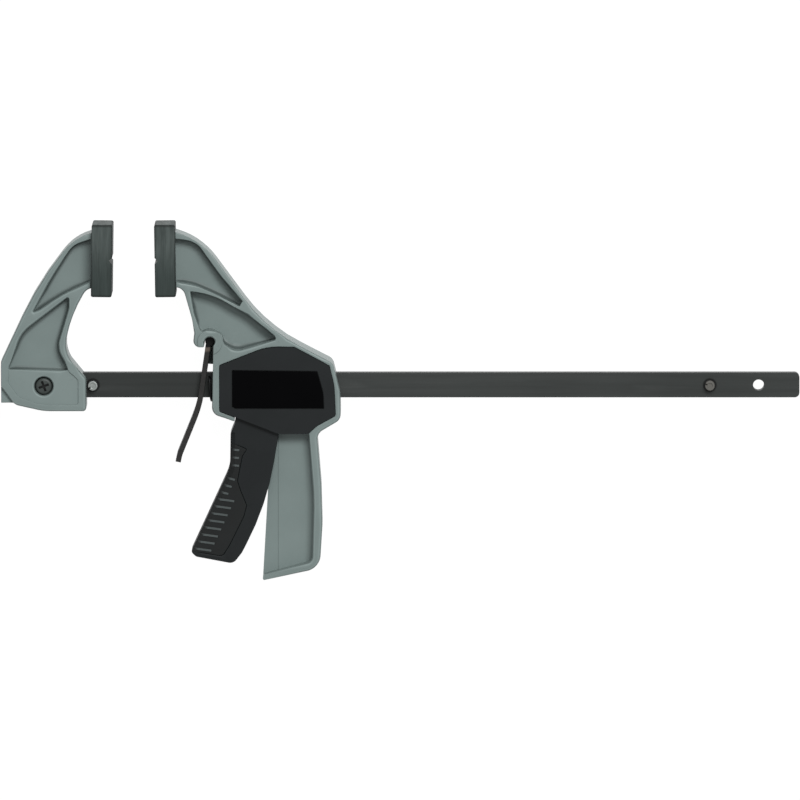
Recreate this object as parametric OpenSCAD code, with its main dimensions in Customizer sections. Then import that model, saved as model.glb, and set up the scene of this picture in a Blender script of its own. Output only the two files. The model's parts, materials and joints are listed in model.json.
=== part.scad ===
// One-handed quick release bar clamp, lying flat on its side.
// X runs along the bar towards its free end, Y towards the jaws, Z out of the cover.
// Inside the modules, the bar's centre line is the X axis and its front end is near x = 0.
// Pieces that slide are drawn from the face of the moving pad, where x = 0 is that face.

/* [Bar] */
// Length of the bar
bar_l = 300; // [230:1:600]
// Height of the bar, across its two narrow edges
bar_h = 9.3; // [8.5:0.1:11]
// Thickness of the bar
bar_t = 5; // [4:0.1:5.6]
// Radius of the bar's four corners
bar_corner_r = 1.8; // [0.5:0.1:3]
// Distance of each end hole from its end of the bar
end_hole_inset = 15.4; // [13:0.1:18]
// Diameter of the end holes
end_hole_d = 4.2; // [3.2:0.1:4.4]
// Distance of each stop pin from its end of the bar
stop_inset = 33.8; // [31:0.1:40]
// Diameter of the stop pins
stop_d = 3.6; // [3:0.1:4]
// Length of the stop pins
stop_l = 11; // [9:0.1:13]

/* [Jaws] */
// Gap between the pads as the clamp is shown
opening = 16; // [4:0.5:140]
// Height of the pads' centres above the bar's centre line
pad_y = 47.65; // [44:0.05:55]
// Length of a pad's face, along Y
pad_h = 27.4; // [25:0.1:32]
// Thickness of a pad
pad_t = 7.8; // [6:0.1:10]
// Width across the pads and across the covers
width = 20; // [18.5:0.1:22]
// Angle by which each pad leans towards the other
toe_in = 0.8; // [0:0.1:1.5]
// Depth of the notch across a pad's face
notch_depth = 1.2; // [0.5:0.1:2]
// Distance from the jaw's front face to the back of the fixed pad
fixed_seat_x = 34.2; // [33:0.1:38]
// Width across the fixed jaw
fixed_jaw_w = 15; // [13:0.1:17]
// Thickness of the webs behind the ribbed pockets
web_t = 6; // [4:0.1:7]
// Width across the arm of the moving jaw at its pad
arm_tip_w = 15; // [13:0.1:17]

/* [Housing] */
// Distance from the moving pad's face to the front of the housing
housing_x = 21.7; // [21:0.1:24]
// Thickness of the housing's front wall
front_wall = 5.8; // [5:0.1:7]
// Length of the cavity for the mechanism
cavity_l = 36.5; // [35:0.1:45]
// Thickness of the housing's rear wall
rear_wall = 6; // [4:0.1:8]
// Thickness of the cover plates
cover_t = 1.8; // [1.4:0.1:2.4]
// Depth of the recess for a label in each cover
label_depth = 0.4; // [0.2:0.1:0.8]
// Thickness of the web in the handle
handle_web = 8; // [6:0.1:9]
// Length of the handle below the bar
handle_l = 68.6; // [64:0.1:80]

/* [Mechanism] */
// Length of the trigger below the bar
trigger_l = 62.5; // [56:0.1:66]
// Height of the trigger's pivot above the bar's top edge
pivot_up = 4.95; // [4.8:0.05:5.6]
// Diameter of the trigger's pivot pin
pivot_d = 4; // [3:0.1:4.4]
// Angle through which the trigger is squeezed
squeeze = 16; // [8:0.5:16]
// Thickness of the trigger's front wall
trigger_wall = 2.6; // [2:0.1:2.8]
// Thickness of the soft grip on the trigger
grip_t = 1.2; // [0.8:0.1:1.5]
// Thickness of a drive plate
plate_t = 1.8; // [1.4:0.1:2.2]
// Thickness of the brake lever
lever_t = 2; // [1.6:0.1:2.4]
// Width of the brake lever
lever_w = 12; // [11:0.1:14]
// Lean of the brake lever's upper part
lever_lean = 8.3; // [6:0.1:9]
// Wire diameter of the springs
wire_d = 0.9; // [0.6:0.05:1.1]
// Number of turns of the drive spring
drive_turns = 7; // [5:1:8]
// Number of turns of the brake spring
brake_turns = 3; // [2:1:3]

/* [Hidden] */
$fn = 48;

// Clearances
slide_gap = 0.15;   // between the bar and what slides on it
seat_gap = 0.05;    // between pieces that are fitted together
pin_gap = 0.02;     // around a pin in its seat, on the radius
running_gap = 0.06; // around a turning pin, on the radius
side_gap = 0.3;     // between moving pieces and the walls beside them
arc_step = 6;       // degrees in one facet of an outline's arc
over = 1;           // how far a cut runs past the face that it opens
front_edge = 1.8;   // width of the slanted edges along the trigger's front

// Colours
grey_plastic = [0.47, 0.51, 0.51];
black_plastic = [0.16, 0.17, 0.18];
soft_black = [0.13, 0.14, 0.14];
pad_grey = [0.27, 0.30, 0.30];
dark_steel = [0.24, 0.25, 0.25];
bright_steel = [0.66, 0.67, 0.68];

// Counts
drive_plates = 3;
spring_sides = 6;
spring_rings = 8;
short_ribs = 3;

// Places along the bar
bar_x = 0.7;
rear_hole_x = bar_x + bar_l - end_hole_inset;
jaw_hole_x = bar_x + end_hole_inset;
front_stop_x = bar_x + stop_inset;
rear_stop_x = bar_x + bar_l - stop_inset;
face_x = fixed_seat_x + pad_t;

// Half widths, from the middle plane outwards
half_w = width / 2;
rim_z = half_w - 0.5;
cover_z = half_w - cover_t;
bar_z = bar_t / 2;
fork_in = bar_z + 0.5;
fork_out = fork_in + 2.5;
ear_in = fork_out + side_gap;
trigger_z = cover_z - side_gap - seat_gap;
core_z = trigger_z - grip_t;
channel_z = handle_web / 2 + 0.6;

// Heights above the bar's jaw edge, and below its handle edge
function above(d) = bar_h / 2 + d;
function below(d) = -bar_h / 2 - d;

// Places of the sliding pieces, from the moving pad's face
cavity_x = housing_x + front_wall;
cavity_end = cavity_x + cavity_l;
rear_x = cavity_end + rear_wall;
cavity_top = above(4.15);
pivot = [cavity_x + 12.5, above(pivot_up)];
hub_r = pivot_d / 2 + 1.8;
ear_r = hub_r + 0.4;
cam_r = 5.8;
cam_arm = pivot.y - 0.2;
cam = pivot + cam_arm * [-sin(squeeze / 2), -cos(squeeze / 2)];
plate_x = cam.x + cam_r + seat_gap;
plate_pitch = plate_t + seat_gap;
spring_x = plate_x + drive_plates * plate_pitch;
spring_r = (norm([bar_h / 2, bar_z]) + 0.1 + wire_d / 2) / cos(180 / spring_rings);
pocket_r = spring_r + wire_d / 2 + 0.5;
pocket_x = cavity_x - 1.9;
eye = [housing_x - 1, above(12.25)];
eye_r = 1.8;
bore_r = eye_r + 0.08;
stem_x = eye.x - 0.45;

// Unit vector along v, and v turned by an angle
function unit(v) = v / norm(v);
function turned(v, a) = [v.x * cos(a) - v.y * sin(a), v.x * sin(a) + v.y * cos(a)];
function xy(c) = [c.x, c.y];

// The arc that rounds corner c between its neighbours p and n; an edge too short for
// the fillets at its two ends is shared between them in the ratio of their radii
function corner_arc(p, c, n) =
    let (
        a = unit(xy(p) - xy(c)),
        b = unit(xy(n) - xy(c)),
        half = acos(max(-1, min(1, a * b))) / 2,
        r = c[2],
        reach = min(r / tan(half), norm(xy(p) - xy(c)) * r / (r + p[2] + 0.001),
            norm(xy(n) - xy(c)) * r / (r + n[2] + 0.001)),
        centre = xy(c) + unit(a + b) * reach / cos(half),
        side = a.x * b.y - a.y * b.x > 0 ? -1 : 1,
        steps = ceil((180 - 2 * half) / arc_step),
        start = xy(c) + a * reach - centre
    )
    r == 0 || half > 89.9
        ? [xy(c)]
        : [for (i = [0 : steps]) centre + turned(start, side * i * (180 - 2 * half) / steps)];

// A closed outline from corners [x, y, radius]
function rounded(corners) =
    let (count = len(corners))
    [for (i = [0 : count - 1])
        each corner_arc(corners[(i + count - 1) % count], corners[i], corners[(i + 1) % count])];

// The corners of an outline that lies a distance d inside another
function inset(corners, d) =
    let (count = len(corners))
    [for (i = [0 : count - 1])
        let (
            c = corners[i],
            a = unit(xy(corners[(i + count - 1) % count]) - xy(c)),
            b = unit(xy(corners[(i + 1) % count]) - xy(c)),
            bend = a.y * b.x - a.x * b.y > 0 ? 1 : -1,
            at = xy(c) + unit(a + b) * bend * d / sin(acos(a * b) / 2)
        )
        [at.x, at.y, max(0, c[2] - bend * d)]];

// An open line from corners [x, y, radius]
function rounded_path(corners) =
    let (last = len(corners) - 1)
    concat(
        [xy(corners[0])],
        [for (i = [1 : last - 1]) each corner_arc(corners[i - 1], corners[i], corners[i + 1])],
        [xy(corners[last])]);

// The closed outline of a strip of thickness t along an open line
function strip(path, t) =
    let (
        last = len(path) - 1,
        sides = [for (i = [0 : last])
            turned(unit(path[min(i + 1, last)] - path[max(i - 1, 0)]), 90) * t / 2]
    )
    concat(
        [for (i = [0 : last]) path[i] + sides[i]],
        [for (i = [last : -1 : 0]) path[i] - sides[i]]);

// An outline drawn as a plate, from half width z on both sides of the middle plane
module plate(corners, z) {
    linear_extrude(2 * z, center = true) polygon(rounded(corners));
}

// The same outline on both sides, from half width z1 out to z2
module both_sides(corners, z1, z2) {
    for (z = [-z2, z1])
        translate([0, 0, z]) linear_extrude(z2 - z1) polygon(rounded(corners));
}

// A box given by its lowest and highest corners
module block(low, high) {
    translate(low) cube(high - low);
}

// A bar of round section along X, from x1 to x2
module along_x(r, x1, x2) {
    translate([x1, 0, 0]) rotate([0, 90, 0]) cylinder(r = r, h = x2 - x1);
}

// The space that the bar takes where it passes through a piece
module bar_way(x1, x2, gap = slide_gap) {
    block([x1, -bar_h / 2 - gap, -bar_z - gap], [x2, bar_h / 2 + gap, bar_z + gap]);
}

// Everything is drawn on the bar's centre line, then moved to lie on the ground
module placed() {
    translate([
        -(bar_x + bar_l) / 2,
        -(pad_y + pad_h / 2 + below(handle_l)) / 2,
        half_w
    ]) children();
}

module sliding() {
    placed() translate([face_x + opening, 0, 0]) children();
}

// The pads' own frames: x = 0 is the pad's back and +x points out of its face
module at_fixed_pad() {
    translate([fixed_seat_x, pad_y, 0]) rotate([0, 0, -toe_in]) children();
}

module at_moving_pad() {
    translate([pad_t, pad_y, 0]) rotate([0, 0, toe_in]) mirror([1, 0, 0]) children();
}

// Bar, with a jaw hole and a stop pin's hole at each end

module bar() {
    end = bar_x + bar_l;
    corners = [
        [bar_x, -bar_h / 2, bar_corner_r], [end, -bar_h / 2, bar_corner_r],
        [end, bar_h / 2, bar_corner_r], [bar_x, bar_h / 2, bar_corner_r]
    ];
    color(dark_steel) placed() difference() {
        plate(corners, bar_z);
        for (x = [jaw_hole_x, rear_hole_x])
            translate([x, 0, 0]) cylinder(d = end_hole_d, h = bar_t + 2 * over, center = true);
        for (x = [front_stop_x, rear_stop_x])
            translate([x, 0, 0])
                cylinder(r = stop_d / 2 + pin_gap, h = bar_t + 2 * over, center = true);
    }
}

// Rolled spring pin with its slit
module stop_pin(x, slit_angle) {
    pin_wall = 0.75;
    slit = 0.5;
    placed() translate([x, 0, 0]) rotate([0, 0, slit_angle]) difference() {
        cylinder(d = stop_d, h = stop_l, center = true);
        cylinder(d = stop_d - 2 * pin_wall, h = stop_l + 2 * over, center = true);
        block([0, -slit / 2, -stop_l / 2 - over], [stop_d, slit / 2, stop_l / 2 + over]);
    }
}

module front_stop_pin() {
    color(bright_steel) stop_pin(front_stop_x, 215);
}

module rear_stop_pin() {
    color(dark_steel) stop_pin(rear_stop_x, 160);
}

// Pads, which push onto a tongue at the end of each jaw

tongue_l = 3.6;
tongue_h = 17;

module tongue() {
    block([-1, -tongue_h / 2, -web_t / 2], [tongue_l, tongue_h / 2, web_t / 2]);
}

module pad() {
    edge_r = 0.8;
    notch_w = 2.4;
    face = [
        [0, -pad_h / 2, edge_r], [pad_t, -pad_h / 2, edge_r],
        [pad_t, pad_h / 2, edge_r], [0, pad_h / 2, edge_r]
    ];
    front = [
        [-half_w, -pad_h / 2, edge_r], [half_w, -pad_h / 2, edge_r],
        [half_w, pad_h / 2, edge_r], [-half_w, pad_h / 2, edge_r]
    ];
    difference() {
        intersection() {
            plate(face, half_w);
            rotate([0, -90, 0]) translate([0, 0, -pad_t - over])
                linear_extrude(pad_t + 2 * over) polygon(rounded(front));
        }
        translate([pad_t, 0, 0]) linear_extrude(width + 2 * over, center = true)
            polygon([[0.01, -notch_w / 2], [0.01, notch_w / 2], [-notch_depth, 0]]);
        block([-over, -tongue_h / 2 - seat_gap, -web_t / 2 - seat_gap],
            [tongue_l + 2 * seat_gap, tongue_h / 2 + seat_gap, web_t / 2 + seat_gap]);
    }
}

module fixed_pad() {
    color(pad_grey) placed() at_fixed_pad() pad();
}

module moving_pad() {
    color(pad_grey) sliding() at_moving_pad() pad();
}

// The half space behind a pad's back, less the seating gap
module behind_pad() {
    block([-seat_gap, -pad_h, -width], [2 * pad_h, pad_h, width]);
}

// Fixed jaw: a ribbed arm on a block that takes the bar's front end

fixed_z = fixed_jaw_w / 2;
face_step = 0.5;
block_end = front_stop_x - stop_d / 2 - 0.6;
seat_top = pad_y + 10.25;
seat_bottom = pad_y - 10.65;
head_d = 6.6;
head_gap = 0.15;
head_h = 2.2;
head_z = fixed_z - face_step - head_h - 0.3;
nut_across = 7;
nut_h = 3.2;
nut_z = fixed_z - face_step - nut_h - 0.3;
screw_d = 3.9;

fixed_outline = [
    [0, 0, 0.6], [4.7, below(1.65), 0.8], [6, below(2.6), 3],
    [16, below(4.85), 22], [block_end, below(4.85), 2], [block_end, above(-1.7), 3],
    [23.6, above(8.3), 40], [26.6, above(22.6), 60], [fixed_seat_x - 1.7, seat_bottom, 16],
    [fixed_seat_x + 1, seat_bottom + 0.2, 0], [fixed_seat_x + 1, seat_top + 0.3, 0],
    [fixed_seat_x - 5.9, seat_top - 1.2, 65], [14.2, above(34.7), 120], [0, above(4.6), 2]
];
fixed_upper_pocket = [
    [12.4, above(23.6), 0.9], [14.4, above(24.3), 6], [23.2, above(30.2), 60],
    [fixed_seat_x + 1, seat_bottom + 3.4, 0], [fixed_seat_x + 1, seat_top - 1.9, 0],
    [27.2, seat_top - 4.4, 16], [19.2, seat_top - 17, 60]
];
fixed_lower_pocket = [
    [2.6, above(1.7), 0.8], [25.6, above(1.4), 0.8], [21.1, above(9.8), 8],
    [25.6, above(24.8), 5], [25.6, above(29.2), 1.4], [8, above(15.6), 14]
];
fixed_plate = [
    [2.8, below(-6), 1.2], [6.6, below(-0.7), 4], [14, below(2.1), 12],
    [block_end - 3, below(2.3), 0.8], [block_end - 3, below(-7.1), 1.5],
    [26, above(0.7), 1], [25, above(2.2), 0], [2.8, above(2.2), 0]
];
fixed_tail = [
    [0, above(1), 0.3], [0, below(1.75), 0.3], [6.5, below(1.75), 0.3], [6.5, above(1), 0.3]
];

module fixed_jaw() {
    color(grey_plastic) placed() difference() {
        union() {
            difference() {
                plate(fixed_outline, fixed_z);
                at_fixed_pad() behind_pad();
                both_sides(fixed_upper_pocket, web_t / 2, fixed_z + over);
                both_sides(fixed_lower_pocket, web_t / 2, fixed_z + over);
                both_sides(fixed_plate, fixed_z - face_step, fixed_z + over);
            }
            plate(fixed_tail, fixed_z - 2);
            at_fixed_pad() tongue();
        }
        bar_way(bar_x - seat_gap, block_end + over, seat_gap);
        translate([jaw_hole_x, 0, 0]) {
            cylinder(d = end_hole_d, h = 2 * fixed_z, center = true);
            translate([0, 0, head_z]) cylinder(r = head_d / 2 + head_gap, h = fixed_z);
            translate([0, 0, -nut_z]) mirror([0, 0, 1])
                cylinder(d = (nut_across + 0.2) / cos(30), h = fixed_z, $fn = 6);
        }
    }
}

module fixed_jaw_screw() {
    shank_l = head_z + fixed_z - face_step - 0.2;
    recess_w = 0.9;
    recess_l = 4;
    recess_h = 1.4;
    color(black_plastic) placed() translate([jaw_hole_x, 0, head_z]) difference() {
        union() {
            translate([0, 0, -shank_l]) cylinder(d = screw_d, h = shank_l);
            rotate_extrude() polygon(concat(
                [[0, 0], [head_d / 2, 0]],
                [for (a = [0 : 15 : 75])
                    [head_d / 2 - 1.1 * (1 - cos(a)), head_h - 1.5 * (1 - sin(a))]],
                [[0, head_h]]));
        }
        for (a = [20, 110])
            rotate([0, 0, a])
                block([-recess_l / 2, -recess_w / 2, head_h - recess_h],
                    [recess_l / 2, recess_w / 2, head_h + over]);
    }
}

module fixed_jaw_nut() {
    color(dark_steel) placed() translate([jaw_hole_x, 0, -nut_z - 0.05]) mirror([0, 0, 1])
        difference() {
            cylinder(d = nut_across / cos(30), h = nut_h, $fn = 6);
            translate([0, 0, -over]) cylinder(d = screw_d + 2 * pin_gap, h = nut_h + 2 * over);
        }
}

// Jaw body: ribbed arm, mechanism housing and pistol handle in one moulding

handle_front = rear_x - 29.5;
handle_rim = rear_x - 10.8;

body_outline = [
    [handle_front, below(handle_l), 1.3], [rear_x - 8, below(handle_l - 4.4), 7],
    [rear_x - 7, below(handle_l - 20.6), 16], [rear_x - 7.4, below(33), 30],
    [rear_x - 9, below(13.1), 4], [rear_x - 0.1, below(7.8), 3.5],
    [rear_x - 0.2, -bar_h / 4, 14], [rear_x - 3.1, above(4.4), 3.5],
    [rear_x - 28, above(17.3), 60], [17.5, pad_y + 7.75, 28], [6.8, pad_y + 10.95, 0],
    [6.8, pad_y - 9.95, 0], [10.7, pad_y - 10.6, 4], [14.1, above(20.6), 16],
    [14.8, above(15.6), 2.6], [14.2, above(10.35), 2.6], [eye.x - 2.15, above(10.35), 0.5],
    [eye.x - 2.15, eye.y, 0], [housing_x + 0.4, eye.y, 0.3], [housing_x - 0.3, below(5.7), 3.5],
    [cavity_x + 2.4, below(8.45), 0.4], [cavity_x + 2.9, below(4.6), 0],
    [handle_front + 4, below(4.6), 0], [handle_front + 2, below(34), 60]
];
body_upper_pocket = [
    [6.8, pad_y - 7.85, 0], [14.5, pad_y - 9.05, 20], [24, pad_y - 13.25, 60],
    [31.8, pad_y - 17.35, 0.9], [33, pad_y - 15.35, 0.9], [25.2, pad_y - 6.55, 60],
    [15.4, pad_y + 7.25, 16], [6.8, pad_y + 8.25, 0]
];
body_lower_pocket = [
    [13.4, above(31.2), 0.8], [14.9, above(22.6), 10], [17.2, above(15.9), 3],
    [25.6, above(15.9), 3], [25.6, above(11.5), 2.5], [30.5, above(8.9), 6],
    [rear_x - 24.4, above(13.2), 1], [rear_x - 25, above(14.6), 1],
    [rear_x - 35, above(22.8), 60], [20, above(30.9), 30]
];
cavity = [
    [cavity_x, below(5.1), 0.6], [cavity_x + 4, below(6.8), 0],
    [cavity_x + 8, below(5.85), 0], [cavity_end, below(5.85), 1],
    [cavity_end, cavity_top, 1.5], [cavity_x, cavity_top, 1.5]
];
housing_foot_x = cavity_x + 2.6;
handle_pocket = [
    [housing_foot_x, below(4), 0], [handle_rim - 1.7, below(4), 0.5], [handle_rim - 1.3, below(13.5), 10],
    [handle_rim + 0.4, below(38), 60], [handle_rim - 0.2, below(handle_l - 7.1), 5],
    [handle_front - 4, below(handle_l - 0.9), 0],
    [housing_foot_x, below(handle_l - 0.9), 0]
];
strip_step = 0.3;
handle_strip = [
    [housing_foot_x, below(4), 0], [handle_front + 5.9, below(4), 0],
    [handle_front + 5.9, below(handle_l + 5), 0],
    [housing_foot_x, below(handle_l + 5), 0]
];
cover_outline = [
    [cavity_x - 3.2, below(4.55), 0.8], [cavity_x + 14.5, below(11.4), 3],
    [rear_x - 23.5, below(13.25), 10], [rear_x - 12.4, below(13.15), 0.8],
    [rear_x - 9.1, below(10.05), 8], [rear_x - 2.1, below(6.25), 1.2],
    [rear_x - 2.6, 1, 20], [rear_x - 4.3, above(3.35), 0.8],
    [rear_x - 17.6, above(10.45), 1], [rear_x - 28, above(10.45), 22],
    [cavity_x - 3.2, above(3.5), 0.8]
];
peg_places = [
    [cavity_x - 1.6, below(1.35)], [rear_x - 15, above(6.6)], [rear_x - 8.5, below(7.2)]
];
peg_r = 1.2;
peg_l = 2.5;

// Wall that closes the slot behind the brake lever
slot_z = lever_w / 2 + side_gap;
slot_wall = [
    [eye.x - 2.3, eye.y], [eye.x - 1.4, above(8.9)], [eye.x - 2, above(2.4)],
    [housing_x + 0.6, above(2.4)], [housing_x + 0.6, eye.y]
];

// Taper of the arm, from the housing's width to the tip's, as a profile across Y
module arm_taper() {
    start = above(17);
    end = pad_y + 2.65;
    far = pad_y + pad_h;
    rotate([90, 0, 90]) linear_extrude(rear_x + over)
        polygon([
            [-far - handle_l, -rim_z], [start, -rim_z], [end, -arm_tip_w / 2],
            [far, -arm_tip_w / 2], [far, arm_tip_w / 2], [end, arm_tip_w / 2],
            [start, rim_z], [-far - handle_l, rim_z]
        ]);
}

// Boss round the lever's eye, a little prouder than the rims
module eye_boss(z) {
    translate([eye.x, eye.y, 0]) cylinder(r = bore_r + 2.8, h = 2 * z, center = true);
}

module at_pegs() {
    for (p = peg_places) translate([p.x, p.y, 0]) children();
}

module jaw_body() {
    color(grey_plastic) sliding() difference() {
        union() {
            difference() {
                intersection() {
                    plate(body_outline, rim_z);
                    arm_taper();
                }
                at_moving_pad() behind_pad();
                both_sides(body_upper_pocket, web_t / 2, half_w);
                difference() {
                    both_sides(body_lower_pocket, web_t / 2, half_w);
                    eye_boss(rim_z);
                }
                both_sides(handle_pocket, handle_web / 2, half_w);
                both_sides(handle_strip, handle_web / 2 - strip_step, handle_web / 2 + over);
                both_sides(cover_outline, cover_z - seat_gap, half_w);
                difference() {
                    plate(cavity, half_w);
                    for (s = [-1, 1]) translate([pivot.x, pivot.y, s * (ear_in + cover_z) / 2])
                        cylinder(r = ear_r, h = cover_z - ear_in, center = true);
                }
                translate([pivot.x, pivot.y, 0]) cylinder(r = ear_r + 0.1, h = 2 * ear_in, center = true);
            }
            intersection() {
                plate(body_outline, half_w);
                eye_boss(half_w);
            }
            translate([0, 0, -rim_z]) linear_extrude(rim_z - slot_z) polygon(slot_wall);
            at_moving_pad() tongue();
        }
        bar_way(0, rear_x + over);
        along_x(pocket_r, housing_x - 2 * over, pocket_x);
        translate([eye.x, eye.y, -slot_z]) cylinder(r = bore_r, h = width);
        translate([pivot.x, pivot.y, 0])
            cylinder(r = pivot_d / 2 + pin_gap, h = width + 2 * over, center = true);
        at_pegs() for (s = [-1, 1]) translate([0, 0, s * cover_z])
            cylinder(r = peg_r + seat_gap, h = 2 * peg_l + 0.4, center = true);
    }
}

// Cover plates, held by pegs, with a recess for a label

label_outline = [
    [cavity_x + 1.3, below(2.9), 0.5], [cavity_x + 2.7, below(3.7), 0.5],
    [rear_x - 6.2, below(3.7), 1], [rear_x - 6.4, -bar_h / 4, 16],
    [rear_x - 8.8, above(1.5), 1], [cavity_x + 1.3, above(1.9), 0.6]
];

module cover() {
    difference() {
        union() {
            translate([0, 0, cover_z]) linear_extrude(cover_t)
                polygon(rounded(inset(cover_outline, 2 * seat_gap)));
            at_pegs() translate([0, 0, cover_z - peg_l]) cylinder(r = peg_r, h = peg_l + 0.5);
        }
        translate([0, 0, half_w - label_depth]) linear_extrude(over)
            polygon(rounded(label_outline));
    }
}

module front_cover() {
    color(black_plastic) sliding() cover();
}

module rear_cover() {
    color(black_plastic) sliding() mirror([0, 0, 1]) cover();
}

// Trigger: a channel that closes over the handle's web, with a fork round the bar

trigger_front = [
    [cavity_x + 3.6, below(3.9), 1], [cavity_x + 2.9, below(9.3), 0.6],
    [cavity_x + 0.9, below(13.2), 1.6], [cavity_x + 0.7, below(26.2), 16],
    [cavity_x - 14.1, below(trigger_l - 4.3), 1.2]
];
trigger_rear = [
    [cavity_x - 11.9, below(trigger_l - 2.6), 2], [cavity_x + 1.9, below(trigger_l), 3],
    [cavity_x + 5.1, below(trigger_l - 4.1), 2], [cavity_x + 14.6, below(40.3), 105],
    [cavity_x + 19.4, below(10.9), 2], [cavity_x + 13.9, below(4.6), 1.5]
];
trigger_outline = concat(trigger_front, trigger_rear);
front_top = xy(trigger_front[2]);
front_bend = xy(trigger_front[3]);
front_foot = xy(trigger_front[4]);

// Inside of the trigger's channel, which is open behind and below
module channel() {
    wall = 1.1 * trigger_wall;
    end = front_foot + [wall, 0] + 8.6 * unit(front_foot - front_bend);
    inside = concat(
        [[cavity_x + 3.7 + trigger_wall, below(2), 0]],
        [for (i = [1 : 3]) [trigger_front[i].x + wall, trigger_front[i].y, trigger_front[i][2]]],
        [[end.x, end.y, 0], [rear_x, end.y, 0], [rear_x, below(2), 0]]);
    plate(inside, channel_z);
}

// Soft grip's area on the trigger, seen from the side
grip_area = [
    [0, below(trigger_l - 6.5), 0], [cavity_x - 10, below(trigger_l - 4.2), 2],
    [cavity_x - 2.2, below(trigger_l - 2.9), 2], [cavity_x + 0.5, below(trigger_l - 7.2), 3], [cavity_x + 5.8, below(44.6), 3],
    [cavity_x + 6.9, below(40.4), 0.6], [cavity_x + 4.7, below(35), 0.6],
    [cavity_x + 3.4, below(31.1), 3], [cavity_x + 5.3, below(21.6), 2],
    [cavity_x + 7, below(19.1), 0.5], [cavity_x + 3.1, below(17.4), 0.4],
    [cavity_x, below(16.4), 0], [0, below(14.2), 0]
];

// The room for the grip, which wraps round a core set in by the grip's thickness. The grip
// itself is smaller by a gap
module grip_room(gap) {
    difference() {
        plate(inset(grip_area, gap), width);
        translate([grip_t - gap, 0, 0]) plate(trigger_outline, core_z + gap);
    }
}

module fork() {
    for (z = [-fork_out, fork_in]) translate([0, 0, z]) linear_extrude(fork_out - fork_in) {
        translate(pivot) circle(r = hub_r);
        translate(cam) circle(r = cam_r);
        polygon([
            pivot - [hub_r, 0], cam - [cam_r, 0], [cavity_x + 3.5, below(5.5)],
            [cavity_x + 14, below(5.5)], cam + [cam_r - 1.9, -4.3], cam + [cam_r, 0],
            pivot + [hub_r - 1, 0]
        ]);
    }
    translate([pivot.x, pivot.y, 0]) cylinder(r = hub_r, h = 2 * fork_out, center = true);
}

// Cuts for the slanted edges of the trigger's front, along a line from a to b with the trigger
// on its left
module front_edges(a, b) {
    along = b - a;
    past = 0.4;
    for (s = [-1, 1])
        translate(a) rotate([0, 0, atan2(along.y, along.x)]) translate([-past, 0, 0])
            rotate([90, 0, 90]) linear_extrude(norm(along) + 2 * past) polygon([
                [-over, s * (trigger_z - front_edge - over)], [front_edge + over, s * (trigger_z + over)],
                [-over, s * (trigger_z + over)]
            ]);
}

// The trigger's outside with its slanted front edges, which the grip carries on
module trigger_outside() {
    difference() {
        plate(trigger_outline, trigger_z);
        front_edges(front_top, front_bend);
        front_edges(front_bend, front_foot);
    }
}

module trigger() {
    color(black_plastic) sliding() difference() {
        union() {
            difference() {
                trigger_outside();
                channel();
                grip_room(0);
            }
            fork();
        }
        translate([pivot.x, pivot.y, 0])
            cylinder(r = pivot_d / 2 + running_gap, h = width, center = true);
    }
}

// A rib across the grip's front and over both edges, from place p to length l on the sides
module grip_rib(p, l, slope) {
    proud = 0.3;
    rib_w = 0.8;
    set_in = 0.25;
    side = trigger_z + proud;
    front = side - front_edge - proud / 2;
    translate([p.x, p.y, 0]) rotate([90, 0, slope]) linear_extrude(rib_w, center = true)
        polygon([
            [set_in, -front], [front_edge, -side], [l, -side],
            [l, side], [front_edge, side], [set_in, front]
        ]);
}

module trigger_grip() {
    pitch = 2.95;
    first = 1.8;
    slope = front_bend - front_foot;
    ribs = floor((norm(slope) - first) / pitch);
    color(soft_black) sliding() intersection() {
        union() {
            trigger_outside();
            for (i = [0 : ribs - 1]) grip_rib(front_foot + (first + i * pitch) * unit(slope),
                i < ribs - short_ribs ? 7 : 3.6, i < ribs - short_ribs ? -8 : -14);
            for (i = [0 : short_ribs])
                grip_rib(front_bend + (1.2 + i * pitch) * unit(front_top - front_bend), 3.4, -6);
        }
        grip_room(seat_gap);
    }
}

module trigger_pin() {
    color(bright_steel) sliding() translate([pivot.x, pivot.y, 0])
        cylinder(d = pivot_d, h = 2 * cover_z - 4 * seat_gap, center = true);
}

// Drive plates, which bite on the bar and are pushed back by the trigger's fork

module drive_plate(i) {
    plate_h = bar_h + 6.7;
    plate_w = bar_t + 8;
    color(dark_steel) sliding() translate([plate_x + i * plate_pitch, 0, 0]) difference() {
        block([0, -plate_h / 2, -plate_w / 2], [plate_t, plate_h / 2, plate_w / 2]);
        bar_way(-over, plate_t + over);
    }
}

module drive_plate_1() {
    drive_plate(0);
}

module drive_plate_2() {
    drive_plate(1);
}

module drive_plate_3() {
    drive_plate(2);
}

// Coil spring round the bar, as one tube from x1 to x2 with its least gap to itself printed

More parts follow.
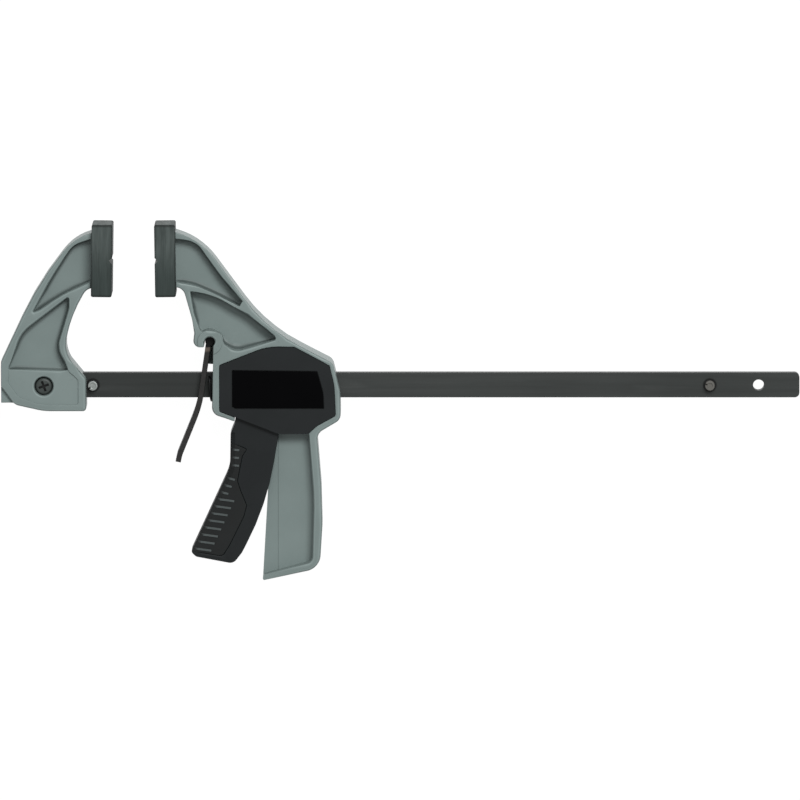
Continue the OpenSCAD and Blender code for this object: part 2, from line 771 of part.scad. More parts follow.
module coil(x1, x2, turns, name) {
    run = x2 - x1 - wire_d;
    rings = turns * spring_rings;
    pitch = run / turns;
    echo(str(name, ": least gap between turns ", pitch * cos(atan(pitch / (2 * PI * spring_r))) - wire_d));
    centres = [for (i = [0 : rings]) let (a = 360 * i / spring_rings)
        [x1 + wire_d / 2 + run * i / rings, spring_r * cos(a), spring_r * sin(a)]];
    points = [for (i = [0 : rings], k = [0 : spring_sides - 1])
        let (
            a = 360 * i / spring_rings,
            b = 360 * k / spring_sides,
            out = [0, cos(a), sin(a)],
            tangent = unit([pitch / (2 * PI), -spring_r * sin(a), spring_r * cos(a)]),
            side = cross(tangent, out)
        )
        centres[i] + wire_d / 2 * (out * cos(b) + side * sin(b))];
    faces = concat(
        [for (i = [0 : rings - 1], k = [0 : spring_sides - 1])
            let (
                a = i * spring_sides + k,
                b = i * spring_sides + (k + 1) % spring_sides,
                c = b + spring_sides,
                d = a + spring_sides
            )
            each [[a, b, c], [a, c, d]]],
        [for (k = [1 : spring_sides - 2]) [0, k + 1, k]],
        [for (k = [1 : spring_sides - 2])
            [rings * spring_sides, rings * spring_sides + k, rings * spring_sides + k + 1]]);
    polyhedron(points, [for (f = faces) [f[2], f[1], f[0]]]);
}

module drive_spring() {
    color(bright_steel) sliding()
        coil(spring_x + seat_gap, cavity_end - seat_gap, drive_turns, "drive spring");
}

// Brake lever: a bent steel strip hung from its rolled eye, with a window for the bar

lever_upper = eye.y + bar_h / 2 + 2.85;
lever_bend = 22;
lever_knee = [stem_x - lever_upper * tan(lever_lean), eye.y - lever_upper];
lever_foot = lever_knee - 18.5 * [tan(lever_bend), 1];
lever_line = [
    [stem_x, eye.y, 0], [lever_knee.x, lever_knee.y, 40],
    [lever_foot.x, lever_foot.y, 8], [lever_foot.x - 0.6, lever_foot.y - 2.8, 0]
];
lever_rear = stem_x - (eye.y - spring_r) * tan(lever_lean) + lever_t / 2 / cos(lever_lean);

module brake_lever() {
    window_up = 0.5;
    window_down = 0.25;
    color(dark_steel) sliding() difference() {
        union() {
            linear_extrude(lever_w, center = true)
                polygon(strip(rounded_path(lever_line), lever_t));
            translate([eye.x, eye.y, 0]) cylinder(r = eye_r, h = lever_w, center = true);
        }
        block([lever_knee.x - 10, -bar_h / 2 - window_down, -bar_z - 0.25],
            [stem_x + 10, bar_h / 2 + window_up, bar_z + 0.25]);
    }
}

module brake_spring() {
    color(bright_steel) sliding()
        coil(lever_rear + 0.3, pocket_x - seat_gap, brake_turns, "brake spring");
}

bar();
fixed_jaw();
fixed_jaw_screw();
fixed_jaw_nut();
fixed_pad();
front_stop_pin();
rear_stop_pin();
jaw_body();
moving_pad();
front_cover();
rear_cover();
trigger_pin();
drive_spring();
brake_spring();
trigger();
trigger_grip();
drive_plate_1();
drive_plate_2();
drive_plate_3();
brake_lever();
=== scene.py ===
# Looks of a one-handed bar clamp that lies flat on its side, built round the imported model
import json
import math
from functools import cached_property

import bmesh
import bpy
from mathutils import Matrix, Vector
from mathutils.bvhtree import BVHTree
from mathutils.geometry import area_tri, delaunay_2d_cdt

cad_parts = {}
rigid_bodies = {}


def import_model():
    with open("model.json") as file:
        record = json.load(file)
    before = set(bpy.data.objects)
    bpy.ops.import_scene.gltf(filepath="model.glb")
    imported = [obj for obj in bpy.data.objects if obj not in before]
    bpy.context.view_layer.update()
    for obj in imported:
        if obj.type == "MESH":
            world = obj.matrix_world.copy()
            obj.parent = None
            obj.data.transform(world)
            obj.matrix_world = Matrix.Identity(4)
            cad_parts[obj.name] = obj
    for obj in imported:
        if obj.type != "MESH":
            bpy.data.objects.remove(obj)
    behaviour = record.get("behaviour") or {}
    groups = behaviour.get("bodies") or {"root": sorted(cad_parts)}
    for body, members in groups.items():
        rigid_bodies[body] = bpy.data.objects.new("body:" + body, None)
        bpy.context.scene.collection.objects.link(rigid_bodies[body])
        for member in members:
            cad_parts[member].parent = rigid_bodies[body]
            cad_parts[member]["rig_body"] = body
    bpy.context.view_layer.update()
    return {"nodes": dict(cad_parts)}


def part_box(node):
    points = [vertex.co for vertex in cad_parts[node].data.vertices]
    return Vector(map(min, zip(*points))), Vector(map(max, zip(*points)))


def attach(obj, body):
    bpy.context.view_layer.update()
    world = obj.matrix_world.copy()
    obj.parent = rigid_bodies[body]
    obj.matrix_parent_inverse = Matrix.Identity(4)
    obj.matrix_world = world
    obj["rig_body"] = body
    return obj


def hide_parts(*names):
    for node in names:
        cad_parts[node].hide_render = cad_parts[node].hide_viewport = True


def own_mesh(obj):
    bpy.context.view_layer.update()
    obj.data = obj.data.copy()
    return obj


MM = 0.001
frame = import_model()
nodes = frame["nodes"]

# The camera stands 4.3 m off and leans 6 degrees from straight above, towards the jaws
VIEW_LEAN = math.radians(6)
VIEW_DISTANCE = 4.3
VIEW_WIDTH = 0.3016
VIEW_TARGET = Vector((-0.00015, 0.000035, 0.010))
VIEW_NEAR, VIEW_FAR = 0.05, 20
SENSOR = 36.0

# One soft window as the lamp, even light from all round, and white paper that glows a little
WORLD_LIGHT = 0.5
LAMP_PLACE = Vector((0.4, 0.95, 1.6))
LAMP_POWER = 27
LAMP_WIDTH = 1.1
LAMP_HEIGHT = 0.6
FLOOR_DROP = -0.2 * MM
FLOOR_REACH = 3
PAPER_GLOW = 1.05
PAPER_SHOWN = 0.94

# From this angle on an edge is sharp, and this near another node it is a seam, rounded less
SHARP = math.radians(28)
SEAM_REACH = 0.3 * MM
SEAM_WIDTH = 0.5 * MM

# How far up or down a level face and an upright wall face, at most how much two joined level
# faces bend and a level edge rises, and from which angle on a bend is kept as a crease
LEVEL = 0.99
UPRIGHT = 0.08
LEVEL_BEND = math.radians(12)
LEVEL_RISE = 0.1 * MM
LEVEL_SLACK = 0.05 * MM
CREASE = math.radians(0.5)

# Vertices this near each other are one, edges this short go, and cracks up to so many sides close
WELD = 0.002 * MM
NO_LENGTH = 0.001 * MM
CRACK_SIDES = 12

# Roundings: steps of the profile, the share of a wall's height or a bend's radius that one may
# take, how steeply its width may change along a border, and how long a piece of border may be
ROUND_STEPS = 3
ROUND_SHARE = 0.42
WIDTH_SLOPE = 0.5
LEAST_WIDTH = 0.01 * MM
MITRE_LIMIT = 0.3
SLIGHT_TURN = 0.01
BORDER_STEP = 3 * MM
EVEN_ROUNDS = 3

# Where a rounded border crosses itself, the widths near the spot shrink until it doesn't
CROSSING_TRIES = 14
CROSSING_REACH = 3 * MM
CROSSING_SHRINK = 0.75

# The foot of a wide fillet is smoothed in its tight corners
SMOOTH_ROUNDS = 10
SMOOTH_WIDTH = 0.5 * MM
SMOOTH_TURN = -0.002
SMOOTH_SHARE = 0.4

# How much painted highlight (up) or painted shade (down) each step of a rounding gets, from the
# wall to the face
EDGE_ATTRIBUTE = "edge_wear"
RIM_PAINTED_LIGHT = (0, -0.7, 0.45, 0)
FILLET_PAINTED_SHADE = (-0.5, -1, -0.6, 0)
FULL_PAINT_WIDTH = 0.6 * MM

# Widths of the roundings of a piece's rims and of its inner corners
MOULDED_EDGES = (1.2 * MM, 1.5 * MM)
COVER_EDGES = (0.4 * MM, 0.15 * MM)
TRIGGER_EDGES = (0.5 * MM, 0.3 * MM)
GRIP_EDGES = (0.2 * MM, 0.15 * MM)
PAD_EDGES = (0.4 * MM, 0.1 * MM)
STEEL_EDGES = (0.3 * MM, 0.1 * MM)
NO_EDGES = (0, 0)

# The gap between the trigger's upper front and the housing, seen from the side
NOTCH_RIGHT = -60.9 * MM
NOTCH_FOOT = -8.2 * MM
NOTCH_TOP = -2.6 * MM
NOTCH_WIDTH = 0.4 * MM

# Heights from the middle plane: the grip's flat side, and the slots in the handle's foot
MIDDLE_HEIGHT = 10 * MM
GRIP_FACE = 7.95 * MM
SLOT_TOP = 5 * MM
SLOT_HEIGHT = 1.3 * MM
SLOT_REACH = -63 * MM

# The core of a stop pin
CORE_RADIUS = 1.08 * MM
CORE_DEPTH = 0.35 * MM
CORE_SIDES = 32

# The wires of the springs: turns, and where the first one starts
WIRE_RADIUS = 0.45 * MM
WIRE_SIDES = 12
COIL_RADIUS = 6.05 * MM
COIL_STEPS = 28
DRIVE_TURNS = 7
DRIVE_START = 0
BRAKE_TURNS = 2.25
BRAKE_START = math.radians(55)

# The recess of a label, and the bare plate that lies in it
LABEL_DEPTH = 0.4 * MM
PLATE_GAP = 0.25 * MM
PLATE_HEIGHT = 0.22 * MM
PLATE_BEVEL = 0.12 * MM


class Socket:
    """A shader socket that can be used in plain expressions."""

    def __init__(self, finish, link):
        self.finish = finish
        self.link = link

    def maths(self, operation, *others):
        return self.finish.maths(operation, self, *others)

    def __add__(self, other):
        return self.maths("ADD", other)

    __radd__ = __add__

    def __mul__(self, other):
        return self.maths("MULTIPLY", other)

    __rmul__ = __mul__

    def __sub__(self, other):
        return self.maths("SUBTRACT", other)

    def __rsub__(self, other):
        return self.finish.maths("SUBTRACT", other, self)


class Finish:
    """A material or a world, with one method that adds any node."""

    def __init__(self, name, group=bpy.data.materials):
        self.owner = group.new(name)
        self.owner.use_nodes = True
        self.tree = self.owner.node_tree
        self.tree.nodes.clear()

    def node(self, kind, settings=None, inputs=None, output=0):
        node = self.tree.nodes.new(kind)
        for key, value in (settings or {}).items():
            if key == "stops":
                self.set_stops(node.color_ramp, value)
            else:
                setattr(node, key, value)
        for key, value in (inputs or {}).items():
            if isinstance(value, Socket):
                self.tree.links.new(value.link, node.inputs[key])
            else:
                node.inputs[key].default_value = value
        return Socket(self, node.outputs[output]) if len(node.outputs) else None

    @staticmethod
    def set_stops(ramp, stops):
        while len(ramp.elements) < len(stops):
            ramp.elements.new(0.5)
        for element, (position, value) in zip(ramp.elements, stops):
            element.position = position
            element.color = (value, value, value, 1)

    def maths(self, operation, *values):
        return self.node("ShaderNodeMath", {"operation": operation}, dict(enumerate(values)))

    @cached_property
    def place(self):
        return self.node("ShaderNodeTexCoord", output="Object")

    def along(self, axis):
        """The place along one axis, in metres, as a number."""
        return self.node("ShaderNodeSeparateXYZ", None, {0: self.place}, axis)

    def away_from(self, name):
        """The distance in metres from the middle of a node, seen from above."""
        middle = middle_of(name)
        spot = self.node("ShaderNodeCombineXYZ", None, {0: self.along(0), 1: self.along(1)})
        inputs = {0: spot, 1: (middle.x, middle.y, 0)}
        return self.node("ShaderNodeVectorMath", {"operation": "DISTANCE"}, inputs, "Value")

    def noise(self, scale, detail=2.0, stretch=(1, 1, 1), roughness=0.5):
        place = self.node("ShaderNodeMapping", None, {"Vector": self.place, "Scale": stretch})
        return self.node("ShaderNodeTexNoise", None, {
            "Vector": place, "Scale": scale, "Detail": detail, "Roughness": roughness,
        })

    def ramp(self, value, *stops):
        return self.node("ShaderNodeValToRGB", {"stops": stops}, {"Fac": value})

    def span(self, value, low, high):
        """0 below low, 1 above high, and a smooth run between them."""
        return self.node("ShaderNodeMapRange", {"interpolation_type": "SMOOTHSTEP"}, {
            "Value": value, "From Min": low, "From Max": high,
        })

    def mix(self, factor, first, second):
        inputs = {0: factor, 6: first, 7: second}
        return self.node("ShaderNodeMix", {"data_type": "RGBA"}, inputs, 2)

    def edge_wear(self, shade, tone, worn, shade_gain):
        """A colour with a painted highlight where the piece's attribute is up, and painted shade
        where it is down.
        """
        edge = self.node("ShaderNodeAttribute", {"attribute_name": EDGE_ATTRIBUTE}, output=2)
        pale, dark = (colour(*[min(255, c * factor) for c in tone]) for factor in (worn, shade_gain))
        return self.mix(edge * -1, self.mix(edge, shade, pale), dark)

    def bump(self, height, strength, distance):
        return self.node("ShaderNodeBump", None, {
            "Height": height, "Strength": strength, "Distance": distance,
        })

    def shown(self):
        """1 for the rays that show a thing as it looks, and 0 for those that only light others."""
        kinds = ("Is Camera Ray", "Is Glossy Ray", "Is Transmission Ray")
        straight, *others = (self.node("ShaderNodeLightPath", output=kind) for kind in kinds)
        for other in others:
            straight = straight.maths("MAXIMUM", other)
        return straight

    def surface(self, **inputs):
        named = {
            key.replace("_", " ").title().replace("Ior", "IOR"): value
            for key, value in inputs.items()
        }
        shader = self.node("ShaderNodeBsdfPrincipled", None, named)
        self.node("ShaderNodeOutputMaterial", None, {"Surface": shader})
        return self.owner


def colour(red, green, blue):
    """A colour given as it looks on a screen, from 0 to 255, as the shader's linear values."""
    return (*[
        (c / 255 / 12.92) if c / 255 <= 0.04045 else ((c / 255 + 0.055) / 1.055) ** 2.4
        for c in (red, green, blue)
    ], 1)


def middle_of(name):
    """The middle of a node's box."""
    low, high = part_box(name)
    return (low + high) / 2


def moulded(name, tone, light, roughness, gloss, worn=1.22, shade_gain=0.66, grain=900, depth=0.03 * MM):
    """Moulded plastic: a fine grain, faint clouds, a painted highlight along its rims and painted
    shade in its inner corners; the two factors after gloss set how pale and how dark these are.
    """
    finish = Finish(name)
    clouds = finish.noise(60, 3)
    fine = finish.noise(grain, 3, roughness=0.7)
    cloudy = finish.ramp(clouds, (0.35, 0), (0.65, 1))
    shade = finish.mix(cloudy, colour(*tone), colour(*light))
    return finish.surface(
        base_color=finish.edge_wear(shade, tone, worn, shade_gain),
        roughness=fine * 0.16 + (roughness - 0.08),
        specular_ior_level=gloss,
        normal=finish.bump(fine, 0.25, depth),
    )


def pad_rubber():
    """Pad rubber with fine lines across it, paler towards the tips, with painted shade along its
    sides, under its top end and at its foot.
    """
    finish = Finish("soft_pad")
    across, up = finish.along(0), finish.along(1)
    lines = finish.noise(2300, 3, (1, 0.03, 0.03), 0.65)
    wide = finish.noise(420, 3, (1, 0.12, 0.12), 0.6)
    fine = finish.noise(900, 3, roughness=0.7)
    edge_shade_tone = colour(14, 18, 17)
    pale = finish.mix(lines, colour(58, 67, 65), colour(92, 100, 98))
    shade = finish.mix(lines, colour(40, 49, 47), colour(60, 69, 67))
    shade = finish.mix(finish.span(up, 46 * MM, 62 * MM), shade, pale)
    shade = finish.mix(finish.ramp(wide, (0.35, 0.55), (0.6, 0)), shade, colour(32, 40, 38))
    low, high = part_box("fixed_pad")
    # Painted shade: a dark line under the top end, a darker foot, and below dark lines along both
    # sides
    line = finish.span(up, high.y - 1.2 * MM, high.y - 0.7 * MM)
    line = line * (1 - finish.span(up, high.y - 0.25 * MM, high.y - 0.05 * MM))
    foot = 1 - finish.span(up, low.y + 0.2 * MM, low.y + 1.3 * MM)
    shade = finish.mix(line * 0.75 + foot * 0.6, shade, edge_shade_tone)
    for pad in ("fixed_pad", "moving_pad"):
        low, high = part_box(pad)
        half = (high.x - low.x) / 2
        away = (across - (low.x + high.x) / 2).maths("ABSOLUTE")
        side = finish.span(away, half - 0.8 * MM, half - 0.2 * MM)
        side = side * (1 - finish.span(away, half - 0.04 * MM, half))
        shade = finish.mix(side * 0.7, shade, edge_shade_tone)
    return finish.surface(
        base_color=shade,
        roughness=fine * 0.1 + 0.5,
        specular_ior_level=0.2,
        normal=finish.bump(lines * 0.7 + fine * 0.3, 0.35, 0.04 * MM),
    )


def plain_steel(name, tone, light, roughness, metallic):
    """Rolled or wire steel, with a mottled skin."""
    finish = Finish(name)
    mottle = finish.noise(500, 4, roughness=0.6)
    clouds = finish.noise(90, 3)
    return finish.surface(
        base_color=finish.mix(mottle * 0.6 + clouds * 0.4, colour(*tone), colour(*light)),
        metallic=metallic,
        roughness=mottle * 0.2 + (roughness - 0.1),
        specular_ior_level=0.3,
        normal=finish.bump(mottle, 0.2, 0.02 * MM),
    )


def rolled_bar():
    """Black bar: long streaks, darker in front of the mechanism, and painted shadow rings round the
    stop pins.
    """
    finish = Finish("black_rolled_bar")
    streaks = finish.noise(420, 4, (0.03, 1, 1), 0.65)
    scuffs = finish.noise(160, 3, (0.12, 1, 1), 0.6)
    bloom = finish.noise(14, 2, (1, 0.4, 0.4))
    tone = finish.mix(streaks, colour(40, 43, 42), colour(66, 69, 68))
    tone = finish.mix(finish.ramp(scuffs, (0.55, 0), (0.75, 0.5)), tone, colour(80, 83, 82))
    tone = finish.mix(finish.ramp(bloom, (0.35, 0), (0.7, 0.5)), tone, colour(34, 37, 36))
    front = 0.45 - finish.span(finish.along(0), -80 * MM, -50 * MM) * 0.45
    tone = finish.mix(front, tone, colour(30, 33, 32))
    # Painted shadow: a near-black ring round each stop pin
    for pin in ("front_stop_pin", "rear_stop_pin"):
        ring = 1 - finish.span(finish.away_from(pin), 2.3 * MM, 2.9 * MM)
        tone = finish.mix(ring, tone, colour(8, 9, 9))
    return finish.surface(
        base_color=tone,
        metallic=0.2,
        roughness=streaks * 0.25 + 0.38,
        specular_ior_level=0.25,
        normal=finish.bump(streaks, 0.25, 0.03 * MM),
    )


def oiled_screw():
    """A blackened screw with a paler head and its cross recess painted near black as shade."""
    finish = Finish("blackened_screw")
    speckle = finish.noise(800, 3, roughness=0.7)
    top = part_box("fixed_jaw_screw")[1].z
    away = finish.away_from("fixed_jaw_screw")
    # Painted shade: the cross recess, found by its depth, is painted near black
    deep = 1 - finish.span(finish.along(2), top - 1.3 * MM, top - 1.0 * MM)
    cross = deep * (1 - finish.span(away, 2.2 * MM, 2.5 * MM))
    tone = finish.mix(speckle, colour(44, 50, 48), colour(66, 72, 70))
    tone = finish.mix(finish.span(away, 2.9 * MM, 3.2 * MM), tone, colour(16, 20, 19))
    return finish.surface(
        base_color=finish.mix(cross, tone, colour(4, 5, 5)),
        roughness=speckle * 0.2 + 0.3,
        specular_ior_level=0.3,
        normal=finish.bump(speckle, 0.25, 0.03 * MM),
    )


def lever_strip():
    """Blackened strip steel, with a painted brownish highlight below its eye and painted shade,
    near black, in the bore.
    """
    finish = Finish("blackened_strip")
    speckle = finish.noise(700, 3, roughness=0.7)
    up = finish.along(1)
    tone = finish.mix(speckle, colour(32, 32, 32), colour(54, 53, 52))
    # Painted highlight, brownish, just below the eye; above it the bore's end is painted near black
    # as shade
    eye_highlight = finish.span(up, 18.4 * MM, 19.6 * MM) * (1 - finish.span(up, 20.3 * MM, 20.8 * MM))
    tone = finish.mix(eye_highlight * 0.8, tone, colour(104, 94, 86))
    tone = finish.mix(finish.span(up, 20.4 * MM, 21.0 * MM), tone, colour(5, 5, 6))
    return finish.surface(
        base_color=tone,
        metallic=0.25,
        roughness=speckle * 0.25 + 0.35,
        specular_ior_level=0.2,
        normal=finish.bump(speckle, 0.3, 0.04 * MM),
    )


def other_nodes(name):
    """A search tree over every CAD node but one."""
    points, faces = [], []
    for other, node in nodes.items():
        if other != name:
            start = len(points)
            points += [vertex.co.copy() for vertex in node.data.vertices]
            faces += [[start + i for i in face.vertices] for face in node.data.polygons]
    return BVHTree.FromPolygons(points, faces)


def tree_of(faces):
    """A search tree over some faces of a bmesh."""
    spots, numbers = [], {}
    for face in faces:
        for vert in face.verts:
            if vert not in numbers:
                numbers[vert] = len(spots)
                spots.append(vert.co.copy())
    return BVHTree.FromPolygons(spots, [[numbers[vert] for vert in face.verts] for face in faces])


def level_regions(shape):
    """The groups of joined faces that lie level, each with the side that it faces, up or down."""
    level = {}
    for face in shape.faces:
        if abs(face.normal.z) > LEVEL:
            level[face] = 1 if face.normal.z > 0 else -1
    regions = []
    while level:
        first, side = level.popitem()
        group, waiting = [first], [first]
        while waiting:
            for edge in waiting.pop().edges:
                for other in edge.link_faces:
                    if level.get(other) == side and edge.calc_face_angle(math.pi) < LEVEL_BEND:
                        del level[other]
                        group.append(other)
                        waiting.append(other)
        regions.append((group, side))
    return regions


def region_border(group):
    """The loops along a region's border by their first vertex, or None if it pinches."""
    inside = set(group)
    border = {}
    for face in group:
        for loop in face.loops:
            others = [other for other in loop.edge.link_faces if other is not face]
            if len(others) != 1:
                return None
            if others[0] not in inside:
                if loop.vert in border:
                    return None
                border[loop.vert] = loop
    return border


def wall_of(loop):
    """The face on the other side of a border's edge."""
    return next(face for face in loop.edge.link_faces if face is not loop.face)


def wall_kind(loop):
    """1 where a square wall falls away from the border, -1 where it rises, and 0 for neither."""
    angle = loop.edge.calc_face_angle_signed(0)
    if abs(angle) < SHARP or abs(wall_of(loop).normal.z) > UPRIGHT:
        return 0
    return 1 if angle > 0 else -1


class Corner:
    """One vertex of a region's border, the way in from it, and how far its edge is rounded."""

    def __init__(self, vert, before, loop, side, inside):
        self.vert, self.side = vert, side
        self.before, self.after = before.vert, loop.link_loop_next.vert
        ways = self.flat(vert.co - self.before.co), self.flat(self.after.co - vert.co)
        self.lengths = [way.length for way in ways]
        self.turn = ways[1].angle_signed(ways[0], 0)
        normals = [Vector((-way.y, way.x)).normalized() for way in ways]
        spread = max(MITRE_LIMIT, 1 + normals[0].dot(normals[1]))
        self.inward = (normals[0] + normals[1]) / spread
        self.slope = sum((face.normal for face in vert.link_faces if face in inside), Vector())
        others = [face for face in vert.link_faces if face not in inside]
        leaning = any(abs(face.normal.z) > UPRIGHT for face in others)
        same = wall_kind(loop) == wall_kind(before)
        self.kind = wall_kind(loop) if same and not leaning else 0
        self.height = min(
            max(abs(other.co.z - vert.co.z) for other in wall_of(step).verts)
            for step in (before, loop)
        )
        self.width = 0.0
        self.extra = Vector((0, 0))

    def flat(self, way):
        return Vector((way.x, self.side * way.y))

    def inner(self):
        """Where the rounding ends on the face, seen from above."""
        return self.flat(self.vert.co) + self.inward * self.width + self.extra

    def set_width(self, rim, fillet, close):
        width = (0, rim, fillet)[self.kind]
        if SLIGHT_TURN < self.turn < SHARP:
            width = min(width, ROUND_SHARE * sum(self.lengths) / self.turn)
        self.width = min(width, ROUND_SHARE * self.height)
        if close:
            self.width = min(self.width, SEAM_WIDTH)

    def place(self, angle):
        """Where the profile is at an angle, from 0 at the wall to 90 degrees on the face."""
        inward = (self.inward * self.width + self.extra) * (1 - math.cos(angle))
        along = Vector((inward.x, self.side * inward.y, 0))
        along.z = -(self.slope.x * along.x + self.slope.y * along.y) / self.slope.z
        along.z -= self.side * self.kind * self.width * (1 - math.sin(angle))
        return self.vert.co + along

    def add_ring(self, shape):
        """The profile's vertices, from the wall to the face, with the painted highlight (up) or
        painted shade (down) that each gets.
        """
        if self.width < LEAST_WIDTH:
            return [self.vert] * (ROUND_STEPS + 1)
        angles = [math.pi / 2 * step / ROUND_STEPS for step in range(1, ROUND_STEPS + 1)]
        ring = [self.vert] + [shape.verts.new(self.place(angle)) for angle in angles]
        edge_light = shape.verts.layers.float[EDGE_ATTRIBUTE]
        for vert, value in zip(ring, RIM_PAINTED_LIGHT if self.kind > 0 else FILLET_PAINTED_SHADE):
            vert[edge_light] = value * min(1, self.width / FULL_PAINT_WIDTH)
        return ring


def even_out(corners):
    """Lets widths change only slowly along a border."""
    order = list(corners.values())
    for corner in (order + order[::-1]) * EVEN_ROUNDS:
        for other, length in zip((corner.before, corner.after), corner.lengths):
            corner.width = min(corner.width, corners[other].width + WIDTH_SLOPE * length)


def smooth_fillets(corners):
    """Lets the foot of a fillet run round a tight corner in a wider curve."""
    for _ in range(SMOOTH_ROUNDS):
        places = {vert: corner.inner() for vert, corner in corners.items()}
        for vert, corner in corners.items():
            sides = (corner.before, corner.after)
            kinds = (corner.kind, *[corners[other].kind for other in sides])
            if corner.width <= SMOOTH_WIDTH or max(kinds) >= 0:
                continue
            before, after = (places[other] for other in sides)
            first, second = places[vert] - before, after - places[vert]
            if first.length and second.length and first.angle_signed(second, 0) < SMOOTH_TURN:
                corner.extra += SMOOTH_SHARE * ((before + after) / 2 - places[vert])


def new_outline(corners, creases):
    """The places where the roundings and creases end, by vertex, and the lines that join them."""
    places = {vert: corner.place(math.pi / 2) for vert, corner in corners.items()}
    lines = [(vert, corner.after) for vert, corner in corners.items()]
    for edge in creases:
        for vert in edge.verts:
            places.setdefault(vert, vert.co.copy())
        lines.append(tuple(edge.verts))
    index = {vert: number for number, vert in enumerate(places)}
    return places, index, [(index[first], index[second]) for first, second in lines]


def patches(faces, limits):
    """The groups of triangles that no line of the border divides."""
    neighbours = {}
    for number, face in enumerate(faces):
        for edge in zip(face, [*face[1:], face[0]]):
            if frozenset(edge) not in limits:
                neighbours.setdefault(frozenset(edge), []).append(number)
    beside = {number: set() for number in range(len(faces))}
    for pair in neighbours.values():
        for number in pair:
            beside[number].update(pair)
    groups, left = [], set(range(len(faces)))
    while left:
        waiting, group = [left.pop()], []
        while waiting:
            number = waiting.pop()
            group.append(faces[number])
            new = beside[number] & left
            left -= new
            waiting += new
        groups.append(group)
    return groups


def fill_region(corners, creases, side, old):
    """The vertices' numbers, the new triangles of the face, and where its border crosses itself."""
    places, index, lines = new_outline(corners, creases)
    flat = [Vector((place.x, side * place.y)) for place in places.values()]
    points, _, faces, sources, _, _ = delaunay_2d_cdt(flat, lines, [], 1, 1e-8)
    crossings = [point for point, source in zip(points, sources) if len(source) != 1]
    if crossings:
        return index, [], crossings
    found = [source[0] for source in sources]
    spots = dict(zip(found, points))
    limits = {frozenset(line) for line in lines[:len(corners)]}
    inside = []
    for patch in patches([[found[i] for i in face] for face in faces], limits):
        widest = max(patch, key=lambda face: abs(area_tri(*[spots[i] for i in face])))
        middle = sum((spots[i] for i in widest), Vector((0, 0))) / 3
        above = Vector((middle.x, side * middle.y, 1))
        if old.ray_cast(above, Vector((0, 0, -1)))[0] is not None:
            inside += patch
    return index, inside, []


def fit_roundings(corners, creases, side, old):
    """Fills a region inside its roundings, narrowed where the border would cross itself."""
    for _ in range(CROSSING_TRIES):
        even_out(corners)
        for corner in corners.values():
            corner.extra = Vector((0, 0))
        smooth_fillets(corners)
        index, faces, crossings = fill_region(corners, creases, side, old)
        if not crossings:
            return index, faces
        for corner in corners.values():
            here = corner.flat(corner.vert.co)
            if any((here - spot).length < CROSSING_REACH for spot in crossings):
                corner.width *= CROSSING_SHRINK
    return None


def round_region(shape, group, side, near, back, edges, moves):
    """Rounds the edges round one level region and fills it anew."""
    border = region_border(group)
    if not border:
        return
    inside = set(group)
    before = {loop.link_loop_next.vert: loop for loop in border.values()}
    corners = {
        vert: Corner(vert, before[vert], loop, side, inside) for vert, loop in border.items()
    }
    creases = dict.fromkeys(
        edge for face in group for edge in face.edges
        if all(other in inside for other in edge.link_faces)
        and edge.calc_face_angle(0) > CREASE
    )
    for vert, corner in corners.items():
        close = near.find_nearest(back @ vert.co, SEAM_REACH)[0] is not None
        corner.set_width(*(NO_EDGES if vert in moves else edges), close)
    fitted = fit_roundings(corners, creases, side, tree_of(group))
    if not fitted:
        return
    index, faces = fitted
    rings = {}
    for vert, corner in corners.items():
        rings[vert] = corner.add_ring(shape)
        if corner.width >= LEAST_WIDTH:
            moves[vert] = corner.place(0).z
    for vert in index:
        if vert not in rings:
            rings[vert] = [shape.verts.new(vert.co)]
    tops = {number: rings[vert][-1] for vert, number in index.items()}
    bmesh.ops.delete(shape, geom=group, context="FACES")
    for vert, corner in corners.items():
        here, there = rings[vert], rings[corner.after]
        for low in range(ROUND_STEPS):
            ring = dict.fromkeys([here[low], there[low], there[low + 1], here[low + 1]])
            if len(ring) > 2:
                shape.faces.new(list(ring))
    for face in faces:
        shape.faces.new([tops[i] for i in face])


def split_border(shape):
    """Divides the long level edges, so that a rounding's width can change along them."""
    for edge in list(shape.edges):
        if len(edge.link_faces) == 2 and edge.calc_face_angle(0) > SHARP:
            if abs(edge.verts[0].co.z - edge.verts[1].co.z) < LEVEL_RISE:
                for left in range(int(edge.calc_length() / BORDER_STEP), 0, -1):
                    edge = bmesh.utils.edge_split(edge, edge.verts[0], 1 / (left + 1))[0]


def soften(shape, name, edges, turn):
    """Rounds a piece's edges as a mould does, and shades its curves smooth."""
    near = other_nodes(name)
    shape.verts.layers.float.new(EDGE_ATTRIBUTE)
    bmesh.ops.transform(shape, matrix=turn, verts=shape.verts)
    split_border(shape)
    shape.normal_update()
    moves = {}
    for group, side in level_regions(shape) if edges != NO_EDGES else ():
        round_region(shape, group, side, near, turn.inverted(), edges, moves)
    for vert, height in moves.items():
        vert.co.z = height
    bmesh.ops.transform(shape, matrix=turn.inverted(), verts=shape.verts)
    bmesh.ops.dissolve_degenerate(shape, dist=NO_LENGTH, edges=shape.edges)
    loose = [edge for edge in shape.edges if edge.is_wire]
    bmesh.ops.delete(shape, geom=loose, context="EDGES")
    cracks = [edge for edge in shape.edges if edge.is_boundary]
    bmesh.ops.holes_fill(shape, edges=cracks, sides=CRACK_SIDES)
    shape.normal_update()
    for face in shape.faces:
        face.smooth = True
    for edge in shape.edges:
        edge.smooth = len(edge.link_faces) == 2 and edge.calc_face_angle(0) < SHARP


def node_shape(name):
    """A CAD node's mesh, with its loose triangles joined."""
    shape = bmesh.new()
    shape.from_mesh(nodes[name].data)
    bmesh.ops.remove_doubles(shape, verts=shape.verts, dist=WELD)
    return shape


